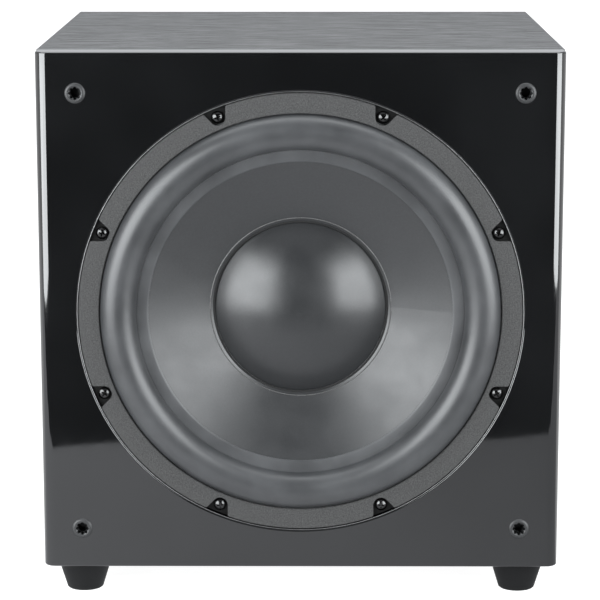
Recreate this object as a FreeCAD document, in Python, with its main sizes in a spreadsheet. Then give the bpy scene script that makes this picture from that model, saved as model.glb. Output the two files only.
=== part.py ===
"""A sealed powered subwoofer: board cabinet, long-throw woofer, plate amplifier and rubber feet.

The frame is in millimetres, +Z up, with the origin on the floor under the middle of the whole object.
The woofer looks along -Y. Depths called "deep" are measured from the baffle's front face towards the rear.
"""

import FreeCAD
import Part
import Sketcher

import math
import os

Vector = FreeCAD.Vector
Rotation = FreeCAD.Rotation
Placement = FreeCAD.Placement

DIMENSIONS = {
    # cabinet
    "cab_w": 365.0,  # width over the side panels
    "cab_h": 365.8,  # height without the feet
    "cab_d": 353.0,  # depth, baffle included
    "board": 18.0,  # thickness of every board
    "edge_round": 8.0,  # round-over on the baffle's upright front edges
    "rim_round": 1.4,  # softer rim along the baffle's top and bottom
    "brace_deep": 212.0,  # depth of the brace's front face
    "brace_t": 15.0,
    "front_reach": 6.0,  # the surround's roll stands this far ahead of the baffle
    "rear_reach": 18.0,  # the knobs stand this far behind the rear panel
    # feet
    "foot_h": 22.3,
    "foot_top_r": 19.6,
    "foot_low_r": 12.9,
    "foot_inset": 27.0,
    "foot_well_r": 6.0,
    "foot_well_h": 9.0,
    "foot_screw_r": 2.2,
    "foot_screw_len": 24.0,
    # grille sockets
    "socket_span": 309.3,
    "socket_flange_r": 7.2,
    "socket_body_r": 5.4,
    "socket_bore_r": 3.4,
    "socket_deep": 13.0,
    # woofer
    "rebate_r": 156.2,
    "rebate_deep": 8.0,
    "rebate_round": 0.9,
    "cutout_r": 139.5,
    "ring_r": 155.0,
    "ring_hole_r": 140.6,
    "ring_front": 0.6,
    "flange_front": 4.0,
    "flange_t": 3.0,
    "bolt_r": 149.1,
    "roll_in_r": 115.0,
    "roll_out_r": 140.0,
    "surround_r": 144.3,  # edge of the surround's flange
    "lip_r": 106.3,
    "rubber_t": 1.0,
    "cone_lip_deep": 6.5,
    "cone_r": 107.0,
    "cap_deep": 27.0,
    "cap_flange_r": 63.8,
    "cap_r": 60.4,
    "cap_rise": 22.0,
    "paper_t": 1.2,
    "coil_r": 32.0,
    "former_t": 0.3,
    "spider_deep": 62.2,
    "plate_front": 98.0,
    "plate_t": 10.0,
    "ferrite_t": 20.0,
    "ferrite_r": 76.0,
    "ferrite_hole_r": 44.0,
    "steel_r": 70.0,
    "gap_r": 35.2,
    "pole_r": 31.0,
    "vent_r": 11.0,
    # amplifier
    "amp_w": 210.0,
    "amp_h": 280.0,
    "amp_t": 3.0,
    "amp_seal_t": 0.8,
    "amp_cut_w": 186.0,
    "amp_cut_h": 256.0,
    "amp_box_deep": 76.0,
    "knob_r": 10.5,
    "knob_len": 13.0,
    "shaft_r": 3.0,
    "knob_x": 48.0,
    "knob_up": 100.0,
    "toggle_up": 52.0,
    "jack_x": 14.0,
    "jack_up": 6.0,
    "jack_pitch": 26.0,
    "inlet_x": 42.0,
    "rocker_x": -46.0,
    "mains_up": -92.0,
}

SCREWS = 8
WINDOWS = 6
AMP_SCREW_ROWS = 4
TINY = 0.01  # overlap used where a cutter has to reach past a face

doc = FreeCAD.newDocument("subwoofer")
parts = []


class Size:
    """A number together with the spreadsheet expression that gives it."""

    def __init__(self, text, value):
        self.text = text
        self.value = value

    def _join(self, sign, other, value, swap=False):
        mine = self.text
        theirs = other.text if isinstance(other, Size) else repr(float(other))
        first, second = (theirs, mine) if swap else (mine, theirs)
        return Size(f"({first} {sign} {second})", value)

    def __add__(self, other):
        return self._join("+", other, self.value + number(other))

    def __radd__(self, other):
        return self._join("+", other, self.value + number(other), True)

    def __sub__(self, other):
        return self._join("-", other, self.value - number(other))

    def __rsub__(self, other):
        return self._join("-", other, number(other) - self.value, True)

    def __mul__(self, other):
        return self._join("*", other, self.value * number(other))

    def __rmul__(self, other):
        return self._join("*", other, self.value * number(other), True)

    def __truediv__(self, other):
        return self._join("/", other, self.value / number(other))

    def __neg__(self):
        return Size(f"(0 - {self.text})", -self.value)


def number(size):
    """The plain number of a Size or of a number."""
    return size.value if isinstance(size, Size) else float(size)


def make_sheet():
    """The spreadsheet of driving dimensions, and one Size for each of its cells."""
    sheet = doc.addObject("Spreadsheet::Sheet", "Dims")
    sizes = {}
    for row, (alias, value) in enumerate(DIMENSIONS.items(), 1):
        sheet.set(f"A{row}", alias)
        sheet.set(f"B{row}", repr(value))
        sheet.setAlias(f"B{row}", alias)
        sizes[alias] = Size(f"Dims.{alias}", value)
    doc.recompute()
    return sizes


D = make_sheet()

FRONT = -(D["cab_d"] + D["rear_reach"] - D["front_reach"]) / 2  # y of the baffle's front face
BACK = FRONT + D["cab_d"]  # y of the rear panel's outer face
FLOOR = D["foot_h"]  # z of the cabinet's underside
AXIS_Z = FLOOR + D["cab_h"] / 2  # height of the woofer's axis
HALF_W = D["cab_w"] / 2
PLATE_FACE = BACK + D["amp_seal_t"] + D["amp_t"]  # y of the amplifier plate's outer face


# ---------------------------------------------------------------- FreeCAD helpers


def bind(thing, name, size):
    """Ties a property or constraint to its expression, or sets a plain number."""
    if isinstance(size, Size):
        thing.setExpression(name, size.text)


def place(thing, x=0.0, y=0.0, z=0.0, turn=None):
    """Puts an object at x, y, z, each of which may be a Size."""
    rotation = turn or Rotation()
    thing.Placement = Placement(Vector(number(x), number(y), number(z)), rotation)
    for axis, size in (("x", x), ("y", y), ("z", z)):
        bind(thing, f"Placement.Base.{axis}", size)


def keep(thing):
    """Marks a labelled object as a sub-part that is exported."""
    parts.append(thing)
    return thing


def new_body(label):
    body = doc.addObject("PartDesign::Body", label)
    body.Label = label
    return body


def plane_of(body, role):
    return next(o for o in body.Origin.OriginFeatures if o.Role == role)


def new_sketch(body, role, deep=0.0):
    """A sketch on one of the body's origin planes, moved along the plane's normal."""
    sketch = body.newObject("Sketcher::SketchObject", body.Label + "_sketch")
    sketch.AttachmentSupport = [(plane_of(body, role), "")]
    sketch.MapMode = "FlatFace"
    if number(deep) != 0.0:
        sketch.AttachmentOffset = Placement(Vector(0, 0, number(deep)), Rotation())
        bind(sketch, "AttachmentOffset.Base.z", deep)
    return sketch


def tie(sketch, kind, refs, size):
    """Adds a dimension to the sketch and binds it to its Size."""
    index = sketch.addConstraint(Sketcher.Constraint(kind, *refs, number(size)))
    if isinstance(size, Size):
        name = f"c{index}"
        sketch.renameConstraint(index, name)
        sketch.setExpression(f"Constraints.{name}", size.text)


def pin_point(sketch, geo, end, x, y):
    """Fixes one end of a line or arc, from the sketch's origin."""
    for kind, size, axis in (("DistanceX", x, -2), ("DistanceY", y, -1)):
        if abs(number(size)) < 1e-9:
            sketch.addConstraint(Sketcher.Constraint("PointOnObject", geo, end, axis))
        else:
            tie(sketch, kind, (-1, 1, geo, end), size)


def arc_between(a, b, radius, left):
    """The arc of that radius from a to b whose middle lies left or right of the way from a to b."""
    chord = b - a
    half = chord.Length / 2
    away = Vector(-chord.y, chord.x, 0) / chord.Length
    rise = radius - math.sqrt(max(radius**2 - half**2, 0.0))
    if left:
        return Part.Arc(b, (a + b) / 2 + away * rise, a)
    return Part.Arc(a, (a + b) / 2 - away * rise, b)


def dome(radius, rise):
    """Radius of the sphere whose cap has that radius and rise."""
    return (radius * radius + rise * rise) / (rise * 2)


def draw(sketch, outline):
    """Draws a closed outline. Each entry is (x, y), or (x, y, radius, left) where the way on to the
    next point is an arc of that radius."""
    spots = [Vector(number(p[0]), number(p[1]), 0) for p in outline]
    count = len(outline)
    first = sketch.GeometryCount
    for i, entry in enumerate(outline):
        a, b = spots[i], spots[(i + 1) % count]
        if len(entry) == 4:
            sketch.addGeometry(arc_between(a, b, number(entry[2]), entry[3]), False)
        else:
            sketch.addGeometry(Part.LineSegment(a, b), False)
    ends = []
    for i, entry in enumerate(outline):
        shape = sketch.Geometry[first + i]
        forward = (shape.StartPoint - spots[i]).Length < 1e-6
        ends.append((1, 2) if forward else (2, 1))
    for i, entry in enumerate(outline):
        pin_point(sketch, first + i, ends[i][0], entry[0], entry[1])
        if len(entry) == 4:
            tie(sketch, "Radius", (first + i,), entry[2])
    for i in range(count):
        after = (i + 1) % count
        join = ("Coincident", first + i, ends[i][1], first + after, ends[after][0])
        sketch.addConstraint(Sketcher.Constraint(*join))


def rectangle(x0, y0, x1, y1):
    return [(x0, y0), (x1, y0), (x1, y1), (x0, y1)]


def draw_circle(sketch, x, y, radius):
    centre = Vector(number(x), number(y), 0)
    index = sketch.addGeometry(Part.Circle(centre, Vector(0, 0, 1), number(radius)), False)
    pin_point(sketch, index, 3, x, y)
    tie(sketch, "Radius", (index,), radius)


def turned(label, outline, y=FRONT, x=0.0, z=AXIS_Z, upright=False, finish=True):
    """A body of revolution. Outline points are (radius, distance along the axis).
    The axis runs along +Y, or along +Z for an upright piece."""
    body = new_body(label)
    sketch = new_sketch(body, "XZ_Plane" if upright else "XY_Plane")
    draw(sketch, outline)
    spin = body.newObject("PartDesign::Revolution", label + "_turned")
    spin.Profile = sketch
    spin.ReferenceAxis = (sketch, ["V_Axis"])
    spin.Angle = 360.0
    place(body, x, y, z)
    return keep(body) if finish else body


def template(label, outline, upright=False):
    """A turned piece at the origin that copies() repeats."""
    return turned(label, outline, 0.0, 0.0, 0.0, upright, False)


def padded(label, role, outlines, start, length, spot, finish=True, circles=()):
    """A body padded from closed outlines on an origin plane, `start` along the plane's normal."""
    body = new_body(label)
    sketch = new_sketch(body, role, start)
    for outline in outlines:
        draw(sketch, outline)
    for circle in circles:
        draw_circle(sketch, *circle)
    pad = body.newObject("PartDesign::Pad", label + "_pad")
    pad.Profile = sketch
    pad.Length = number(length)
    bind(pad, "Length", length)
    place(body, *spot)
    return keep(body) if finish else body


def pocket(body, role, outlines=(), circles=(), start=0.0, length=None, reverse=False):
    """Cuts outlines and circles into the body, and stops if nothing was removed."""
    doc.recompute()
    before = body.Shape.Volume
    sketch = new_sketch(body, role, start)
    for outline in outlines:
        draw(sketch, outline)
    for circle in circles:
        draw_circle(sketch, *circle)
    cut = body.newObject("PartDesign::Pocket", body.Label + "_pocket")
    cut.Profile = sketch
    cut.Reversed = reverse
    if length is None:
        cut.Type = "ThroughAll"
        cut.Midplane = True
    else:
        cut.Type = "Length"
        cut.Length = number(length)
        bind(cut, "Length", length)
    doc.recompute()
    if body.Shape.Volume > before - 1e-3:
        raise RuntimeError(f"{body.Label}: a pocket removed nothing")
    return cut


def repeat_around(body, feature, count, role="Y_Axis"):
    """Repeats a feature around one of the body's own axes."""
    pattern = body.newObject("PartDesign::PolarPattern", body.Label + "_pattern")
    pattern.Originals = [feature]
    pattern.Axis = (plane_of(body, role), [""])
    pattern.Angle = 360.0
    pattern.Occurrences = count
    body.Tip = pattern
    doc.recompute()
    return pattern


def add_axle(body, radius, length):
    """A round pivot along the body's own X axis."""
    sketch = new_sketch(body, "YZ_Plane", -length / 2)
    draw_circle(sketch, 0.0, 0.0, radius)
    axle = body.newObject("PartDesign::Pad", body.Label + "_axle")
    axle.Profile = sketch
    axle.Length = number(length)
    bind(axle, "Length", length)


def edges_where(shape, test):
    return [f"Edge{i}" for i, edge in enumerate(shape.Edges, 1) if test(edge)]


def dress(body, kind, radius, test):
    """A fillet or chamfer on the edges that pass the test."""
    doc.recompute()
    base = body.Tip
    feature = body.newObject(f"PartDesign::{kind}", f"{body.Label}_{kind.lower()}")
    feature.Base = (base, edges_where(base.Shape, test))
    name = "Radius" if kind == "Fillet" else "Size"
    setattr(feature, name, number(radius))
    bind(feature, name, radius)
    doc.recompute()
    return feature


def box(label, x, y, z, dx, dy, dz, finish=True):
    """A board from its lowest corner and its three sizes."""
    solid = doc.addObject("Part::Box", label)
    solid.Label = label
    for name, size in (("Length", dx), ("Width", dy), ("Height", dz)):
        setattr(solid, name, number(size))
        bind(solid, name, size)
    place(solid, x, y, z)
    return keep(solid) if finish else solid


def rod(label, x, y, z, radius, length, turn=None):
    """A construction cylinder along +Z, or along the way that turn gives."""
    solid = doc.addObject("Part::Cylinder", label)
    solid.Radius, solid.Height = number(radius), number(length)
    bind(solid, "Radius", radius)
    bind(solid, "Height", length)
    place(solid, x, y, z, turn)
    return solid


def minus(label, base, tools, finish=True):
    """Base less every tool."""
    joined = tools[0]
    if len(tools) > 1:
        joined = doc.addObject("Part::MultiFuse", label + "_tools")
        joined.Shapes = tools
    cut = doc.addObject("Part::Cut", label)
    cut.Label = label
    cut.Base, cut.Tool = base, joined
    return keep(cut) if finish else cut


def union(label, pieces, finish=True):
    fused = doc.addObject("Part::MultiFuse", label)
    fused.Label = label
    fused.Shapes = pieces
    return keep(fused) if finish else fused


def grouped(label, solids, spot=None):
    """One sub-part made of several separate solids."""
    group = doc.addObject("Part::Feature", label)
    group.Label = label
    group.Shape = solids[0] if len(solids) == 1 else Part.makeCompound(solids)
    group.Placement = spot or Placement()
    return keep(group)


def copies(label, sources, placements):
    """Separate copies of one or more solids, as one sub-part."""
    doc.recompute()
    solids = []
    for source in sources:
        shape = source.Shape.copy()
        shape.Placement = Placement()
        solids += [shape.transformed(p.toMatrix(), True) for p in placements]
    return grouped(label, solids)


def at(x, y, z, turn=None):
    """A placement from sizes or numbers."""
    return Placement(Vector(number(x), number(y), number(z)), turn or Rotation())


def along_y():
    """Turns +Z onto +Y."""
    return Rotation(Vector(1, 0, 0), -90)


def bolt_spots(count, radius, first_deg):
    """Points (x, z) around the woofer's axis."""
    for i in range(count):
        angle = math.radians(first_deg + 360.0 * i / count)
        yield number(radius) * math.cos(angle), number(radius) * math.sin(angle)


def drill_bolt_holes(body, radius):
    """The woofer's ring of screw holes."""
    angle = math.radians(180.0 / SCREWS)
    spot = (D["bolt_r"] * math.cos(angle), D["bolt_r"] * math.sin(angle), radius)
    repeat_around(body, pocket(body, "XZ_Plane", circles=[spot]), SCREWS)


# ---------------------------------------------------------------- cabinet


def make_baffle():
    """Lacquered front board: rounded front edges, woofer seat, screw holes and grille socket holes."""
    half_h = D["cab_h"] / 2
    outline = rectangle(-HALF_W, -half_h, HALF_W, half_h)
    spot = (0.0, FRONT + D["board"], AXIS_Z)
    body = padded("front_baffle", "XZ_Plane", [outline], 0.0, D["board"], spot, False)
    front = -number(D["board"])

    def on_front(edge):
        return abs(edge.BoundBox.YMin - front) < TINY and abs(edge.BoundBox.YMax - front) < TINY

    def upright(edge):
        return on_front(edge) and edge.BoundBox.ZLength > 300

    def rim(edge):
        box_ = edge.BoundBox
        level = all(abs(abs(z) - number(half_h)) < TINY for z in (box_.ZMin, box_.ZMax))
        return level and box_.ZLength < 1 and box_.YMin < -TINY

    dress(body, "Fillet", D["edge_round"], upright)
    dress(body, "Fillet", D["rim_round"], rim)
    pocket(body, "XZ_Plane", circles=[(0.0, 0.0, D["rebate_r"])], start=D["board"] - D["rebate_deep"],
           length=D["rebate_deep"] + 1, reverse=True)
    pocket(body, "XZ_Plane", circles=[(0.0, 0.0, D["cutout_r"])])

    def rebate_rim(edge):
        return on_front(edge) and edge.BoundBox.XLength > 300 and edge.Curve.TypeId == "Part::GeomCircle"

    dress(body, "Fillet", D["rebate_round"], rebate_rim)
    half = D["socket_span"] / 2
    spots = [(sx * half, sz * half) for sx in (-1, 1) for sz in (-1, 1)]
    pocket(body, "XZ_Plane", circles=[(x, z, D["socket_body_r"]) for x, z in spots])
    drill_bolt_holes(body, 3.4)
    return keep(body)


def make_wrap():
    """Four boards with mitred corners, folded round the baffle's back."""
    t, w, h = D["board"], HALF_W, D["cab_h"] / 2
    long = D["cab_d"] - t
    spot = (0.0, BACK, AXIS_Z)
    across = [(-w, h), (w, h), (w - t, h - t), (-w + t, h - t)]
    upright = [(w, h), (w, -h), (w - t, -h + t), (w - t, h - t)]

    def flip(points, sx, sz):
        return [(sx * x, sz * z) for x, z in points]

    padded("top_panel", "XZ_Plane", [across], 0.0, long, spot)
    padded("right_panel", "XZ_Plane", [upright], 0.0, long, spot)
    padded("left_panel", "XZ_Plane", [flip(upright, -1, 1)], 0.0, long, spot)
    half = HALF_W - D["foot_inset"]
    low = padded("bottom_panel", "XZ_Plane", [flip(across, 1, -1)], 0.0, long, spot, False)
    near = -(D["foot_inset"])
    far = -(D["cab_d"] - D["foot_inset"])
    holes = [(sx * half, y, D["foot_screw_r"]) for sx in (-1, 1) for y in (near, far)]
    pocket(low, "XY_Plane", circles=holes, start=-h, length=t, reverse=True)
    keep(low)


def make_rear_panel():
    """Rear board between the wrap's walls, with the amplifier's cut-out and pilot holes."""
    t = D["board"]
    w, h = HALF_W - t, D["cab_h"] / 2 - t
    frame = [rectangle(-w, -h, w, h), amp_cut_out()]
    holes = [(x, z, 1.6) for x, z in amp_screw_spots()]
    padded("rear_panel", "XZ_Plane", frame, 0.0, t, (0.0, BACK, AXIS_Z), True, holes)


def make_brace():
    """Shelf of board across the cabinet behind the magnet, opened by four round-ended windows."""
    t = D["board"]
    w, h = HALF_W - t, D["cab_h"] / 2 - t
    spot = (0.0, FRONT + D["brace_deep"] + D["brace_t"], AXIS_Z)
    body = padded("window_brace", "XZ_Plane", [rectangle(-w, -h, w, h)], 0.0, D["brace_t"], spot, False)
    inner, outer = 20.0, 132.0
    for sx in (-1, 1):
        for sz in (-1, 1):
            corner = rectangle(sx * inner, sz * inner, sx * outer, sz * outer)
            pocket(body, "XZ_Plane", [corner])

    def window_corner(edge):
        reach = max(abs(edge.BoundBox.XMin), abs(edge.BoundBox.ZMin))
        return edge.BoundBox.YLength > 10 and reach < outer + 1

    dress(body, "Fillet", 24.0, window_corner)
    return keep(body)


def make_lining():
    """Eight pads of fibre lining on the walls, ahead of the brace and behind it."""
    t, thick, side, gap = number(D["board"]), 20.0, 230.0, 0.5
    inner_w, inner_h = number(HALF_W) - t - gap, number(D["cab_h"]) / 2 - t - gap
    brace, brace_t, end = number(D["brace_deep"]), number(D["brace_t"]), number(D["cab_d"]) - t - 3
    pads = []
    for start, length in ((48.0, brace - 52.0), (brace + brace_t + 3, end - brace - brace_t - 3)):
        for sign in (-1, 1):
            y = number(FRONT) + start
            low = min(sign * inner_w, sign * (inner_w - thick))
            pads.append(Part.makeBox(thick, length, side, Vector(low, y, number(AXIS_Z) - side / 2)))
            low = min(sign * inner_h, sign * (inner_h - thick))
            pads.append(Part.makeBox(side, length, thick, Vector(-side / 2, y, number(AXIS_Z) + low)))
    grouped("fibre_lining", pads)


def make_feet():
    """Tapered rubber feet, each held by a screw sunk in a well."""
    top, low = D["foot_h"], 0.0
    outline = [
        (D["foot_screw_r"], top),
        (D["foot_top_r"], top),
        (D["foot_low_r"], 0.7, 0.8, False),
        (D["foot_low_r"] - 0.8, low),
        (D["foot_well_r"], low),
        (D["foot_well_r"], D["foot_well_h"]),
        (D["foot_screw_r"], D["foot_well_h"]),
    ]
    x, near, far = HALF_W - D["foot_inset"], FRONT + D["foot_inset"], BACK - D["foot_inset"]
    for end, y in (("front", near), ("rear", far)):
        for side, sign in (("left", -1), ("right", 1)):
            turned(f"foot_{end}_{side}", outline, y, sign * x, 0.0, True)
    r, head, well = D["foot_screw_r"] - 0.05, 4.6, D["foot_well_h"]
    screw = template("foot_screw", [
        (0.0, well - 3.2, dome(head, 1.6), False), (head, well - 1.6), (head, well), (r, well),
        (r, well + D["foot_screw_len"] - 3), (0.0, well + D["foot_screw_len"]),
    ], True)
    cross_recess(screw, 5.2, 1.1, 2.0, "XY_Plane", well - 3.4, True)
    spots = [at(sx * x, y, 0.0) for sx in (-1, 1) for y in (near, far)]
    copies("foot_screws", [screw], spots)


def cross_recess(body, long, wide, deep, role, start, reverse):
    """A cross-shaped driver recess in a screw head."""
    a, b = long / 2, wide / 2
    cross = [
        (a, -b), (a, b), (b, b), (b, a), (-b, a), (-b, b),
        (-a, b), (-a, -b), (-b, -b), (-b, -a), (b, -a), (b, -b),
    ]
    pocket(body, role, [cross], start=start, length=deep, reverse=reverse)


def make_sockets():
    """Rubber grille sockets: flanged cups whose mouths are ribbed like a star."""
    reach, body_r, bore = D["socket_flange_r"], D["socket_body_r"], D["socket_bore_r"]
    deep = D["socket_deep"]
    cup = template("grille_socket", [
        (bore, 0.3, dome((reach - bore) / 2, 1.3), False), (reach, 0.0), (body_r, 0.0),
        (body_r, deep), (0.0, deep), (0.0, deep - 1.5), (bore, deep - 1.5),
    ])
    lobe = pocket(cup, "XZ_Plane", circles=[(bore + 0.1, 0.0, 1.1)], start=2.0, length=7.0)
    repeat_around(cup, lobe, SCREWS)
    half = D["socket_span"] / 2
    spots = [at(sx * half, FRONT, AXIS_Z + sz * half) for sx in (-1, 1) for sz in (-1, 1)]
    copies("grille_sockets", [cup], spots)


# ---------------------------------------------------------------- woofer


def make_trim_ring():
    """Rubber ring that covers the frame's flange, notched round each screw."""
    front, back, mid = D["ring_front"], D["flange_front"], D["flange_front"] - D["rubber_t"]
    hole, rim, step = D["ring_hole_r"], D["ring_r"], D["surround_r"] + 0.5
    body = turned("trim_ring", [
        (hole, front + 0.5), (hole + 0.5, front), (rim - 0.6, front), (rim, front + 0.6),
        (rim, back), (step, back), (step, mid), (hole, mid),
    ], finish=False)
    wide, near = 5.19, D["bolt_r"] - 2.1  # where the round notch runs into its flared sides
    mouth, flare = rim - 1.47, 7.79
    end, spread, beyond = rim - 0.29, 9.65, rim + 9
    notch = [
        (near, -wide, 5.6, True), (near, wide), (mouth, flare, 2.0, False), (end, spread),
        (beyond, spread), (beyond, -spread), (end, -spread, 2.0, False), (mouth, -flare),
    ]
    cut = pocket_turned(body, notch, 180.0 / SCREWS)
    repeat_around(body, cut, SCREWS)
    return keep(body)


def pocket_turned(body, outline, degrees):
    """A through pocket whose outline is drawn along the radius and turned about the body's Y axis."""
    doc.recompute()
    before = body.Shape.Volume
    sketch = new_sketch(body, "XZ_Plane")
    sketch.AttachmentOffset = Placement(Vector(), Rotation(Vector(0, 0, 1), degrees))
    draw(sketch, outline)
    cut = body.newObject("PartDesign::Pocket", body.Label + "_notch")
    cut.Profile = sketch
    cut.Type = "ThroughAll"
    cut.Midplane = True
    doc.recompute()
    if body.Shape.Volume > before - 1e-3:
        raise RuntimeError(f"{body.Label}: a pocket removed nothing")
    return cut


SHELF_DEEP = D["spider_deep"] - 12.2  # rear face of the basket's terminal shelf
SHELF_LOW, SHELF_HIGH = 103.0, 128.0  # its lower and upper edge, above the axis
LUG_X, LUG_UP = 9.0, 112.0  # where the braided leads pass through the shelf


def make_basket():
    """Woofer frame: flange, windowed cone wall, spider ledge and the ring that carries the magnet."""
    front, back = D["flange_front"], D["flange_front"] + D["flange_t"]
    ledge, seat = D["spider_deep"] + 0.3, D["plate_front"]
    body = turned("basket", [
        (135.0, front), (D["ring_r"], front), (D["ring_r"], back), (138.0, back), (138.0, 22.0),
        (90.0, ledge + 1), (82.0, seat - 3), (82.0, seat), (40.0, seat), (40.0, seat - 3), (78.5, seat - 3),
        (85.5, ledge + 2.5), (75.0, ledge + 2.5), (75.0, ledge), (86.0, ledge), (134.0, 21.0),
    ], finish=False)
    inner, outer, half = 93.0, 129.0, 19.0
    s, c = math.sin(math.radians(half)), math.cos(math.radians(half))
    window = [
        (inner * c, -inner * s), (outer * c, -outer * s, outer, False),
        (outer * c, outer * s), (inner * c, inner * s, inner, True),
    ]
    cut = pocket_turned(body, window, 0.0)
    repeat_around(body, cut, WINDOWS)
    drill_bolt_holes(body, 2.75)
    sketch = new_sketch(body, "XZ_Plane", -SHELF_DEEP)
    draw(sketch, rectangle(-18.0, SHELF_LOW, 18.0, SHELF_HIGH))
    shelf = body.newObject("PartDesign::Pad", "terminal_shelf")
    shelf.Profile = sketch
    shelf.Length = 4.0
    lead_holes = [(sx * LUG_X, LUG_UP, 2.0) for sx in (-1, 1)]
    pocket(body, "XZ_Plane", circles=lead_holes, start=-(SHELF_DEEP + 2), length=12.0, reverse=True)
    return keep(body)


def make_driver_seal():
    """Foam gasket between the frame's flange and the bottom of the baffle's rebate."""
    body = turned("driver_seal", [
        (D["cutout_r"] + 1, D["rebate_deep"] - 1), (D["ring_r"] - 1, D["rebate_deep"] - 1),
        (D["ring_r"] - 1, D["rebate_deep"]), (D["cutout_r"] + 1, D["rebate_deep"]),
    ], finish=False)
    drill_bolt_holes(body, 3.0)
    return keep(body)


def make_surround():
    """Half-roll rubber surround, from its lip on the cone to its flange under the trim ring."""
    t = D["rubber_t"]
    foot, lip = D["flange_front"], D["cone_lip_deep"]
    bow = 13.3  # radius of the roll's outer face
    turned("surround", [
        (D["lip_r"], lip - 0.4), (D["lip_r"] + 0.8, lip - t), (D["roll_in_r"] - 0.5, lip - t, bow, False),
        (D["roll_out_r"] + 0.3, foot - t), (D["surround_r"], foot - t), (D["surround_r"], foot),
        (D["roll_out_r"] - 0.45, foot, bow - t, True), (D["roll_in_r"] + 0.43, lip), (D["lip_r"], lip),
    ])


CONE_FALL = (D["cap_deep"] - D["cone_lip_deep"]) / (D["cone_r"] - D["cap_flange_r"])


def cone_deep(radius):
    """Depth of the cone's front face at a radius."""
    return D["cone_lip_deep"] + (D["cone_r"] - radius) * CONE_FALL


def make_cone():
    """Pressed cone with a flat lip under the surround and a neck on the voice-coil former."""
    t, neck = D["paper_t"], D["coil_r"] + D["former_t"]
    low = cone_deep(neck)
    turned("cone", [
        (neck, low), (D["cone_r"], D["cone_lip_deep"]), (D["roll_in_r"] - 0.5, D["cone_lip_deep"]),
        (D["roll_in_r"] - 0.5, D["cone_lip_deep"] + t), (D["cone_r"] + 0.3, D["cone_lip_deep"] + t),
        (neck + 1.2, low + 0.8), (neck + 1.2, low + 5), (neck, low + 5),
    ])


def make_dust_cap():
    """Domed cap with a narrow flange glued on the cone."""
    wall, edge, rim = 0.8, D["cap_flange_r"], D["cap_r"]
    rise = D["cap_rise"]
    bow = dome(rim, rise)
    base = cone_deep(rim)
    apex = base - wall - rise
    turned("dust_cap", [
        (0.0, apex, bow, False), (rim, base - wall), (edge - 0.3, cone_deep(edge) - wall),
        (edge, cone_deep(edge) - 0.3), (edge, cone_deep(edge)),
        (rim - 0.6, cone_deep(rim - 0.6), bow - wall, True), (0.0, apex + wall),
    ])


def make_spider():
    """The corrugated disc, revolved from a ribbon of half rings joined to two flats."""
    t, deep = 0.6, number(D["spider_deep"])
    rim, outer, waves = 74.6, 84.0, 6
    collar = number(D["coil_r"] + D["former_t"])
    wave = (rim - collar - 2.4) / (2 * waves)
    faces = []

    def strip(r0, r1):
        corners = [Vector(r, deep + side * t / 2, 0) for r, side in ((r0, -1), (r1, -1), (r1, 1), (r0, 1))]
        return Part.Face(Part.makePolygon(corners + corners[:1]))

    faces.append(strip(rim - t / 2, outer))
    for i in range(waves):
        middle = Vector(rim - (2 * i + 1) * wave, deep, 0)
        side = -1 if i % 2 == 0 else 1
        ring = []
        for radius in (wave - t / 2, wave + t / 2):
            ends = [middle + Vector(s * radius, 0, 0) for s in (-1, 1)]
            ring.append((ends, Part.Arc(ends[0], middle + Vector(0, side * radius, 0), ends[1]).toShape()))
        (inner, low), (outer_ends, high) = ring
        sides = [Part.makeLine(inner[k], outer_ends[k]) for k in (0, 1)]
        faces.append(Part.Face(Part.Wire(Part.__sortEdges__([low, high, *sides]))))
    faces.append(strip(collar, rim - 2 * waves * wave + t / 2))
    ribbon = faces[0].multiFuse(faces[1:]).removeSplitter()
    solids = [face.revolve(Vector(), Vector(0, 1, 0), 360) for face in ribbon.Faces]
    shape = solids[0] if len(solids) == 1 else solids[0].multiFuse(solids[1:]).removeSplitter()
    grouped("spider", [shape], Placement(Vector(0, number(FRONT), number(AXIS_Z)), Rotation()))


def tube_outline(inner, outer, start, end):
    return [(inner, start), (outer, start), (outer, end), (inner, end)]


def make_motor():
    """Voice coil and magnet assembly."""
    r, t = D["coil_r"], D["former_t"]
    neck = cone_deep(r + t)
    plate, thick, ferrite = D["plate_front"], D["plate_t"], D["ferrite_t"]
    gap_mid = plate + thick / 2
    turned("voice_coil_former", tube_outline(r, r + t, neck - 1, gap_mid + 19))
    turned("voice_coil_winding", tube_outline(r + t, r + 2.1, gap_mid - 17, gap_mid + 17))
    gap, steel = D["gap_r"], D["steel_r"]
    first = plate + thick
    turned("top_plate", [(gap, plate), (steel - 1, plate), (steel, plate + 1), (steel, first), (gap, first)])
    hole, out, bevel = D["ferrite_hole_r"], D["ferrite_r"], 1.5
    for name, start in (("magnet_ring_front", first), ("magnet_ring_rear", first + ferrite)):
        end = start + ferrite
        turned(name, [
            (hole, start), (out - bevel, start), (out, start + bevel),
            (out, end - bevel), (out - bevel, end), (hole, end),
        ])
    base, pole, vent = first + ferrite * 2, D["pole_r"], D["vent_r"]
    turned("pole_yoke", [
        (vent, plate - 2), (pole - 1, plate - 2), (pole, plate - 1), (pole, base), (steel, base),
        (steel, base + 8), (steel - 2, base + 10), (vent + 5, base + 10), (vent, base + 5),
    ])


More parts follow.
